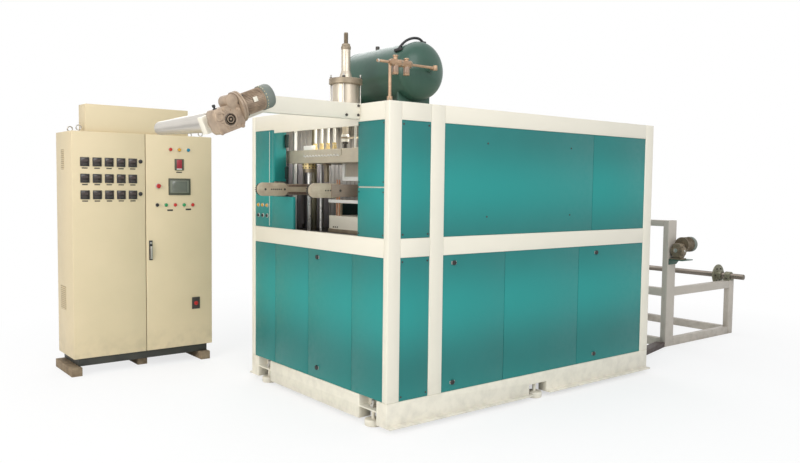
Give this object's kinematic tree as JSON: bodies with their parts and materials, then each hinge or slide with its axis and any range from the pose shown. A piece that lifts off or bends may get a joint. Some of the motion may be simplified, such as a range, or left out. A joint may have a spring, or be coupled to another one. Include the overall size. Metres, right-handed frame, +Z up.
{
  "type": "disposable cup making machine",
  "caption": "Plastic cup forming machine with open forming bay, chain rails, winder arm, roof cylinder and air tank, control cabinet and sheet unwinder stand.",
  "frame": {"origin": "on the floor under the middle of the whole set's bounding box", "axes": "+X from the discharge end of the forming machine towards the unwinder stand, +Y from the long panelled side towards the control cabinet, +Z up"},
  "size_m": [6.378, 3.125, 2.665],
  "materials": {
    "frame_paint": "satin cream white enamel",
    "panel_paint": "satin teal enamel",
    "cabinet_paint": "fine textured beige powder coat",
    "foot_paint": "cream paint",
    "tank_paint": "gloss dark green enamel",
    "gear_paint": "bronze paint on castings",
    "black_paint": "black paint",
    "tray_paint": "dark brown paint",
    "white_paint": "white paint",
    "rusty_steel": "rusty rolled steel",
    "rail_steel": "worn steel, brown with oil",
    "platen_steel": "ground steel, brown with age",
    "dark_steel": "dark oily steel",
    "bright_steel": "turned steel",
    "cast_aluminium": "machined aluminium",
    "brass": "bronze and brass fittings",
    "black_plastic": "black moulded plastic",
    "button_plastic": "coloured moulded plastic"
  },
  "bodies": {
    "machine": {"base_end_beams": "frame_paint", "base_side_beams": "frame_paint", "bearing_blocks": "gear_paint", "cabinet_back": "cabinet_paint", "cabinet_feet": "rusty_steel", "cabinet_plinth": "black_paint", "cabinet_roof_and_floor": "cabinet_paint", "cabinet_sides": "cabinet_paint", "cabinet_top_box": "cabinet_paint", "cable_tray": "tray_paint", "chain_rail_far": "rail_steel", "chain_rail_near": "rail_steel", "chain_sprockets": "dark_steel", "control_panel": "panel_paint", "end_lower_panels": "panel_paint", "feed_bracket": "tank_paint", "feed_gear_motor": "gear_paint", "folding_door": "panel_paint", "forming_deck": "dark_steel", "frame_posts": "frame_paint", "front_near_panels": "panel_paint", "guide_columns": "bright_steel", "heater_boxes": "dark_steel", "levelling_feet": "foot_paint", "lifting_eyes": "bright_steel", "lower_mould_box": "white_paint", "lower_platen": "white_paint", "main_cylinder": "cast_aluminium", "mid_rails": "frame_paint", "rail_arms": "dark_steel", "rail_guards": "rail_steel", "rear_upper_panels": "panel_paint", "roof_plate": "frame_paint", "side_lower_panels": "panel_paint", "side_upper_panels": "panel_paint", "stand_arms": "frame_paint", "stand_cross_bars": "frame_paint", "stand_posts": "frame_paint", "tank_heads": "tank_paint", "tank_saddles": "tank_paint", "tank_shell": "tank_paint", "top_rails": "frame_paint", "valve_group": "brass", "white_posts": "white_paint", "winder_arm": "frame_paint", "winder_gearbox": "gear_paint", "winder_motor": "gear_paint"},
    "platen": {"upper_platen": "platen_steel", "upper_mould": "white_paint", "platen_pipes": "bright_steel", "cylinder_rod": "bright_steel"},
    "winding_drum": {"winder_drum": "bright_steel"},
    "reel": {"reel_shaft": "bright_steel", "reel_disc": "gear_paint"},
    "left_door": {"cabinet_door_left": "cabinet_paint", "temperature_controllers": "black_plastic"},
    "right_door": {"cabinet_door_right": "cabinet_paint", "door_buttons": "button_plastic", "door_screens": "black_plastic", "cabinet_handle": "black_plastic"}
  },
  "joints": [
    {"name": "platen_slide", "type": "slide", "parent": "machine", "child": "platen", "axis": [0, 0, 1], "range_m": [-0.11, 0]},
    {"name": "winding_drum_spin", "type": "hinge", "parent": "machine", "child": "winding_drum", "pos_m": [-3.0089, -1.1525, 1.92829], "axis": [0, 1, 0], "continuous": true},
    {"name": "reel_spin", "type": "hinge", "parent": "machine", "child": "reel", "pos_m": [3.075, -1.0425, 0.63], "axis": [0, 1, 0], "continuous": true},
    {"name": "left_door_hinge", "type": "hinge", "parent": "machine", "child": "left_door", "pos_m": [-3.161, 1.1395, 0.135], "axis": [0, 0, -1], "range_deg": [0, 110]},
    {"name": "right_door_hinge", "type": "hinge", "parent": "machine", "child": "right_door", "pos_m": [-1.971, 1.1395, 0.135], "axis": [0, 0, 1], "range_deg": [0, 110]}
  ]
}
